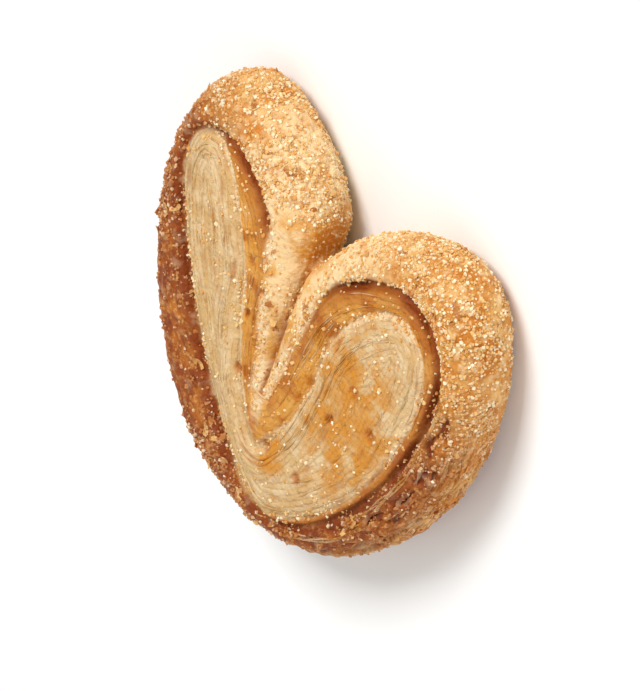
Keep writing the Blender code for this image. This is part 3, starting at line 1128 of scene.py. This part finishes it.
@dataclass
class DoughFlakes(Scatter):
    """Thin flakes of dough that have come loose and lie on the crust."""

    lie: Lie = Lie.FLAT
    density: str = "flake_density"

    def model(self) -> bpy.types.Object:
        """Models one flake: a thin curled scale with an uneven outline."""
        bpy.ops.mesh.primitive_grid_add(x_subdivisions=4, y_subdivisions=2, size=self.size)
        flake = bpy.context.object
        bpy.ops.object.mode_set(mode="EDIT")
        bpy.ops.transform.resize(value=(1.0, 0.5, 1.0))
        bpy.ops.mesh.extrude_region_move(TRANSFORM_OT_translate={"value": (0, 0, 0.09 * MM)})
        bpy.ops.transform.vertex_random(offset=self.size * 0.06, seed=self.seed)
        bpy.ops.object.mode_set(mode="OBJECT")
        for vertex in flake.data.vertices:
            along = vertex.co.x / (self.size / 2)
            vertex.co.z += (along * along - 0.35) * self.size * 0.12
            vertex.co.y *= 1 - 0.55 * along * along
        return flake

    def material(self) -> bpy.types.Material:
        """Makes the flakes' finish."""
        return DoughLeaf("flake", srgb(226, 178, 112), srgb(176, 106, 44)).build()


@dataclass
class LeafEdges:
    """Edges of single leaves of dough that stand proud of the cut faces, as the dough is finished."""

    name: str
    fold: Outline
    depths: tuple[float, float]
    count: int
    seed: int
    inner_fold: Outline | None = None
    lengths: tuple[float, float] = (5.0, 24.0)
    thickness: float = 0.2
    height: float = 0.7
    proud: tuple[float, float] = (0.12, 0.34)
    spacing: float = 0.6
    turned: float = 0.0
    stretch: tuple[float, float] = (0.0, 1.0)
    browned_and_shaded: float = 1.0

    def build(self, slice_: PastrySlice) -> bpy.types.Object:
        """Lays the leaf edges along the folds.

        Args:
            slice_: The built slice, which they are sunk into and finished like.

        Returns:
            The finished piece.
        """
        rng = np.random.default_rng(self.seed)
        curve = bpy.data.curves.new(self.name, "CURVE")
        curve.dimensions = "3D"
        curve.twist_mode = "Z_UP"
        curve.bevel_depth = self.thickness / 2 * MM
        curve.extrude = (self.height - self.thickness) / 2 * MM
        curve.bevel_resolution = 0
        curve.use_fill_caps = True
        for _ in range(self.count):
            self.add_strand(curve, rng, self.smoothed(self.strand(rng, slice_.surface)))
        piece = bpy.data.objects.new(self.name, curve)
        bpy.context.scene.collection.objects.link(piece)
        only(piece)
        bpy.ops.object.convert(target="MESH")
        piece = bpy.context.object
        bpy.ops.object.mode_set(mode="EDIT")
        bpy.ops.mesh.select_all(action="SELECT")
        bpy.ops.mesh.remove_doubles(threshold=0.00001)
        bpy.ops.mesh.normals_make_consistent(inside=False)
        bpy.ops.object.mode_set(mode="OBJECT")
        bpy.ops.object.shade_smooth_by_angle(angle=math.radians(50))
        self.dress(piece, slice_)
        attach(piece, BODY)
        return piece

    def dress(self, piece: bpy.types.Object, slice_: PastrySlice) -> None:
        """Finishes the leaf edges like the dough beneath them, with a tone of each leaf's own.

        Args:
            piece: The leaf edges.
            slice_: The slice.
        """
        nearest = [slice_.surface.find_nearest(vertex.co) for vertex in piece.data.vertices]
        place = np.array([vertex.co for vertex in piece.data.vertices]) / MM
        survey = Survey(place, np.array([normal for _, normal, _, _ in nearest]))
        masks = slice_.masks(survey)
        tone = LatticeNoise(self.seed).at(place / 5.0)
        # On the leaf edges the same mask carries a darker tone that drifts at random.
        masks["hollow_shade_and_tone"] = smooth_step(0.1, 0.45, tone) * 0.7
        # On the leaf edges this mask carries a paler tone that drifts at random.
        masks["crown_highlight_and_tone"] = smooth_step(0.05, -0.3, tone) * 0.9
        masks["open_leaves"] *= 0.2
        # The brown of the lower sides, partly painted shade, is scaled for these leaves.
        masks["brown"] *= self.browned_and_shaded
        slice_.record(piece.data, survey, masks)
        piece.data.materials.clear()
        piece.data.materials.append(slice_.finish.build())

    def strand(self, rng: np.random.Generator, surface: BVHTree) -> list[Vector]:
        """Finds where one leaf edge runs, and stops it where the fold ends.

        Args:
            rng: The source of chance.
            surface: The dough's surface.

        Returns:
            Its points, in metres.
        """
        depth = rng.uniform(*self.depths)
        start, length = rng.uniform(*self.stretch) * self.fold.length(), rng.uniform(*self.lengths)
        phase, sway = rng.uniform(0, math.tau), rng.uniform(0.1, 0.35)
        points = []
        for step in np.arange(0, length, self.spacing):
            spot = self.fold.inside_point(start + step, depth + sway * math.sin(step / 2.6 + phase))
            hit = surface.ray_cast(Vector((*spot, 20)) * MM, Vector((0, 0, -1)))[0]
            here = np.array([spot])
            crowded = self.inner_fold is not None and self.inner_fold.measure(here)[0][0] > -0.2
            if hit is None or crowded or hit.z < 11.8 * MM or self.fold.measure(here)[0][0] < depth - 0.5:
                break
            points.append(hit)
        return points

    def smoothed(self, points: list[Vector]) -> list[Vector]:
        """Evens out a strand's points, because the dough below it is bumpy."""
        for _ in range(4):
            points = [*points[:1], *((before + 2 * point + after) / 4 for before, point, after in
                                     zip(points, points[1:], points[2:])), *points[-1:]]
        return points

    def add_strand(self, curve: bpy.types.Curve, rng: np.random.Generator, points: list[Vector]) -> None:
        """Adds one strand that thins and sinks into the dough at both ends.

        Args:
            curve: The curve that takes it.
            rng: The source of chance.
            points: Its points. Fewer than five are too short to add.
        """
        if len(points) < 5:
            return
        proud, ripple = rng.uniform(*self.proud), rng.uniform(0.5, 1.2)
        spline = curve.splines.new("POLY")
        spline.points.add(len(points) - 1)
        for index, (target, point) in enumerate(zip(spline.points, points)):
            end = min(index, len(points) - 1 - index)
            rise = min(1.0, end / 5) * (0.8 + 0.2 * math.sin(index * ripple))
            target.co = (*(point + self.lift(point, rise * proud - 0.5 * self.height)), 1)
            target.radius = 0.5 + 0.5 * rise
            target.tilt = self.turned

    def lift(self, point: Vector, amount: float) -> Vector:
        """The way out of the dough at a point, as long as the amount in millimetres."""
        return Vector((0, 0, amount * MM))


@dataclass
class RimLeaves(LeafEdges):
    """Leaves of dough that have opened along the lower side of the slice."""

    bearings: tuple[float, float] = (-88.0, 16.0)
    levels: tuple[float, float] = (2.2, 12.0)

    def strand(self, rng: np.random.Generator, surface: BVHTree) -> list[Vector]:
        """Finds where one leaf runs along the side, at one level.

        Args:
            rng: The source of chance.
            surface: The dough's surface.

        Returns:
            Its points, in metres.
        """
        level = rng.uniform(*self.levels)
        bearing, length = rng.uniform(*self.bearings), rng.uniform(*self.lengths)
        slope, phase = rng.uniform(-0.04, 0.04), rng.uniform(0, math.tau)
        points = []
        for step in np.arange(0, length, self.spacing):
            turn = math.radians(bearing) + step / 31.0
            if math.degrees(turn) > self.bearings[1]:
                break
            away = Vector((math.cos(turn), math.sin(turn), 0))
            height = level + slope * step + 0.15 * math.sin(step / 2.6 + phase)
            hit = surface.ray_cast((away * 60 + Vector((0, 0, height))) * MM, -away)[0]
            if hit is None:
                break
            points.append(hit)
        return points

    def lift(self, point: Vector, amount: float) -> Vector:
        """The way out of the side at a point, as long as the amount in millimetres."""
        return Vector((*point.xy, 0)).normalized() * amount * MM


@dataclass
class Weave:
    """Adds and links the nodes of one Geometry Nodes group."""

    group: bpy.types.NodeTree

    def node(self, kind: str, settings: dict | None = None, sockets: dict | None = None) -> bpy.types.Node:
        """Adds any node.

        Args:
            kind: The node's type.
            settings: Its own settings, set first.
            sockets: Its input sockets, by name or number, each with a value or an output socket.

        Returns:
            The node.
        """
        made = self.group.nodes.new(kind)
        for name, value in (settings or {}).items():
            setattr(made, name, value)
        for name, value in (sockets or {}).items():
            if isinstance(value, bpy.types.NodeSocket):
                self.group.links.new(value, made.inputs[name])
            else:
                made.inputs[name].default_value = value
        return made

    def random(self, kind: str, low: object, high: object, seed: int) -> bpy.types.NodeSocket:
        """A random number or vector for each element."""
        made = self.node("FunctionNodeRandomValue", {"data_type": kind})
        slots = {"FLOAT_VECTOR": (0, 1, 0), "FLOAT": (2, 3, 1)}[kind]
        made.inputs[slots[0]].default_value = low
        made.inputs[slots[1]].default_value = high
        made.inputs["Seed"].default_value = seed
        return made.outputs[slots[2]]

    def object(self, thing: bpy.types.Object) -> bpy.types.NodeSocket:
        """An object's geometry."""
        return self.node("GeometryNodeObjectInfo", None, {"Object": thing}).outputs["Geometry"]


def only(piece: bpy.types.Object) -> None:
    """Selects one object and makes it active."""
    bpy.ops.object.select_all(action="DESELECT")
    piece.select_set(True)
    bpy.context.view_layer.objects.active = piece


@dataclass(frozen=True)
class PaleFloor:
    """A matt, nearly white table."""

    colour: tuple = srgb(250, 250, 249)

    def build(self) -> bpy.types.Material:
        """Makes the material."""
        paint = Paint("pale_floor")
        return paint.finish(Base_Color=self.colour, Roughness=0.9)


@dataclass
class Studio:
    """The floor, the lights and the camera."""

    floor_size: float = 4.0
    camera_distance: float = 1.3
    camera_lens: float = 470.0
    toward_camera: tuple = (0.551, 0.598, 0.583)
    camera_up: tuple = (-0.561, 0.782, -0.272)

    def build(self) -> None:
        """Makes the studio round the slice."""
        bpy.ops.mesh.primitive_plane_add(size=self.floor_size)
        floor = bpy.context.object
        floor.name = "floor"
        floor.data.materials.append(PaleFloor().build())
        low, high = CAD_BOUNDS
        middle = (low + high) / 2
        self.light("key", middle, Vector((-0.15, 0.75, 0.7)), 0.9, 0.4, 7.2)
        self.light("fill", middle, Vector((0.9, -0.15, 0.4)), 1.0, 0.8, 4.0)
        self.light("rim", middle, Vector((-0.5, -0.8, 0.7)), 1.0, 0.8, 1.8)
        world = bpy.data.worlds.new("studio")
        world.use_nodes = True
        world.node_tree.nodes["Background"].inputs[0].default_value = (1.0, 0.99, 0.97, 1.0)
        world.node_tree.nodes["Background"].inputs[1].default_value = 0.4
        bpy.context.scene.world = world
        bpy.context.scene.view_settings.view_transform = "Standard"
        self.camera(middle)

    def light(self, name: str, target: Vector, toward: Vector, distance: float, size: float, power: float) -> None:
        """Adds one soft lamp that shines on a target.

        Args:
            name: The lamp's name.
            target: What it shines on.
            toward: The direction from the target to the lamp.
            distance: How far away it stands, in metres.
            size: Its width, in metres.
            power: Its power, in watts.
        """
        lamp = bpy.data.lights.new(name, "AREA")
        lamp.size = size
        lamp.energy = power
        holder = bpy.data.objects.new(name, lamp)
        holder.location = target + toward.normalized() * distance
        holder.rotation_euler = (-toward).to_track_quat("-Z", "Y").to_euler()
        bpy.context.scene.collection.objects.link(holder)

    def camera(self, target: Vector) -> None:
        """Adds the camera, turned so that the slice leans as it does when it stands on its edge."""
        back = Vector(self.toward_camera).normalized()
        right = Vector(self.camera_up).cross(back).normalized()
        up = back.cross(right)
        camera = bpy.data.objects.new("camera", bpy.data.cameras.new("camera"))
        turned = Matrix((right, up, back)).transposed().to_4x4()
        turned.translation = target + back * self.camera_distance
        camera.matrix_world = turned
        camera.data.lens = self.camera_lens
        camera.data.clip_start = 0.01
        bpy.context.scene.collection.objects.link(camera)
        bpy.context.scene.camera = camera


def main() -> None:
    """Builds every piece in order."""
    logging.basicConfig(level=logging.INFO, format="%(name)s: %(message)s")
    pastry = PastrySlice()
    dough = pastry.build()
    LOG.info("dough: %d faces", len(dough.data.polygons))
    for part in (
            SugarGrains("sugar_coarse", 0.62 * MM, 1.5, 11, cut_edges=0.16),
            SugarGrains("sugar_fine", 0.42 * MM, 4.6, 12),
            DoughFlakes("loose_flakes", 2.2 * MM, 0.12, 13)):
        piece = part.build(dough)
        LOG.info("%s: %d faces", piece.name, len(piece.data.polygons))
    for part in (
            LeafEdges("tongue_leaves", TONGUE, (0.8, 6.5), 110, 21),
            LeafEdges("middle_leaves", MIDDLE, (1.4, 6.5), 90, 22, inner_fold=TONGUE),
            LeafEdges("skin_leaves", SKIN, (3.0, 5.6), 34, 24, inner_fold=MIDDLE, lengths=(8.0, 26.0), thickness=0.3,
                      proud=(0.2, 0.45), stretch=(0.0, 0.27), browned_and_shaded=0.35),
            RimLeaves("rim_leaves", SKIN, (0.0, 1.0), 50, 23, lengths=(8.0, 30.0), thickness=0.26, height=1.2,
                      proud=(0.15, 0.5), turned=math.pi / 2)):
        piece = part.build(pastry)
        LOG.info("%s: %d faces", piece.name, len(piece.data.polygons))
    Studio().build()
    LOG.info("studio ready")


if __name__ == "__main__":
    main()
